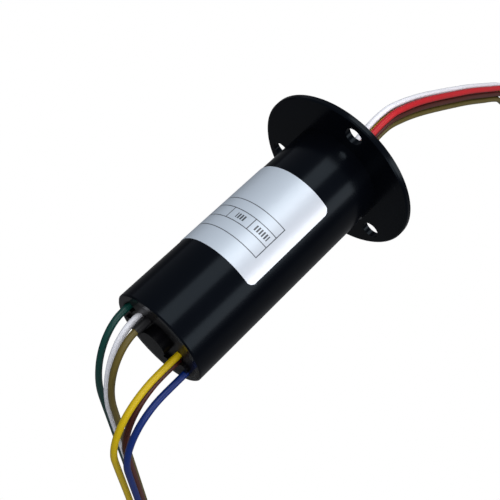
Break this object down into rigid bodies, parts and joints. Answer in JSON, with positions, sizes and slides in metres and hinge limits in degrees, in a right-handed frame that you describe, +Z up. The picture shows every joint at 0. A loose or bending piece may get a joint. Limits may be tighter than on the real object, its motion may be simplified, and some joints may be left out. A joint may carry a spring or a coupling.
{
  "type": "slip ring",
  "caption": "Flanged capsule slip ring with a plain round barrel, a drilled mounting flange and loose colour-coded leads from the barrel end and from the turning hub.",
  "frame": {"origin": "centre of the flange's seat face, where the barrel leaves it", "axes": "+X along the rotation axis from the wire end towards the rotor hub, +Z up as the part is held by its flange"},
  "size_m": [0.2646, 0.052, 0.248],
  "materials": {
    "bearing_steel": "ground bearing steel",
    "black_cap": "moulded black plastic, satin",
    "black_moulding": "moulded black plastic, glossy",
    "cage_brass": "pressed brass",
    "cream_moulding": "unfilled natural plastic",
    "gold_alloy": "gold alloy spring wire on a plated pad",
    "gold_plating": "hard gold plating on brass",
    "green_board": "glass-epoxy board with green solder mask",
    "insulation_black": "lead insulation",
    "insulation_blue": "lead insulation",
    "insulation_brown": "lead insulation",
    "insulation_gold": "lead insulation",
    "insulation_green": "lead insulation",
    "insulation_red": "lead insulation",
    "insulation_white": "lead insulation",
    "insulation_yellow": "lead insulation",
    "nut_aluminium": "turned aluminium",
    "potting_resin": "cast black resin",
    "rotor_moulding": "moulded black plastic",
    "silver_label": "silver polyester film with fine ruled lines",
    "sleeve_rubber": "heat-shrink sleeve",
    "spring_steel": "blackened spring steel"
  },
  "bodies": {
    "stator": {"housing": "black_moulding", "end_cap": "black_cap", "terminal_board": "green_board", "bearing_carrier": "cream_moulding", "rating_label": "silver_label", "brush_board_top": "green_board", "brush_board_bottom": "green_board", "brush_top_1": "gold_alloy", "brush_top_2": "gold_alloy", "brush_top_3": "gold_alloy", "brush_top_4": "gold_alloy", "brush_top_5": "gold_alloy", "brush_top_6": "gold_alloy", "brush_bottom_1": "gold_alloy", "brush_bottom_2": "gold_alloy", "brush_bottom_3": "gold_alloy", "brush_bottom_4": "gold_alloy", "brush_bottom_5": "gold_alloy", "brush_bottom_6": "gold_alloy", "front_outer_race": "bearing_steel", "front_retaining_ring": "spring_steel", "rear_outer_race": "bearing_steel", "wave_washer": "spring_steel", "lead_sleeve": "sleeve_rubber", "stator_lead_green": "insulation_green", "stator_lead_white": "insulation_white", "stator_lead_gold": "insulation_gold", "stator_lead_yellow": "insulation_yellow", "stator_lead_brown": "insulation_brown", "stator_lead_blue": "insulation_blue"},
    "rotor": {"rotor_core": "rotor_moulding", "front_inner_race": "bearing_steel", "front_circlip": "spring_steel", "rear_inner_race": "bearing_steel", "ring_lock_nut": "nut_aluminium", "contact_ring_1": "gold_plating", "contact_ring_2": "gold_plating", "contact_ring_3": "gold_plating", "contact_ring_4": "gold_plating", "contact_ring_5": "gold_plating", "contact_ring_6": "gold_plating", "ring_barriers": "rotor_moulding", "rotor_potting": "potting_resin", "rotor_lead_white": "insulation_white", "rotor_lead_red": "insulation_red", "rotor_lead_yellow": "insulation_yellow", "rotor_lead_brown": "insulation_brown", "rotor_lead_black": "insulation_black", "rotor_lead_gold": "insulation_gold"},
    "front_ball_set": {"front_cage": "cage_brass", "front_balls": "bearing_steel"},
    "rear_ball_set": {"rear_cage": "cage_brass", "rear_balls": "bearing_steel"}
  },
  "joints": [
    {"name": "rotor_spin", "type": "hinge", "parent": "stator", "child": "rotor", "pos_m": [0, 0, 0], "axis": [1, 0, 0], "continuous": true},
    {"name": "front_ball_orbit", "type": "hinge", "parent": "stator", "child": "front_ball_set", "pos_m": [0, 0, 0], "axis": [1, 0, 0], "continuous": true},
    {"name": "rear_ball_orbit", "type": "hinge", "parent": "stator", "child": "rear_ball_set", "pos_m": [0, 0, 0], "axis": [1, 0, 0], "continuous": true}
  ],
  "couplings": [
    {"joint": "front_ball_orbit", "follows": "rotor_spin", "ratio": 0.441},
    {"joint": "rear_ball_orbit", "follows": "rotor_spin", "ratio": 0.4207}
  ]
}
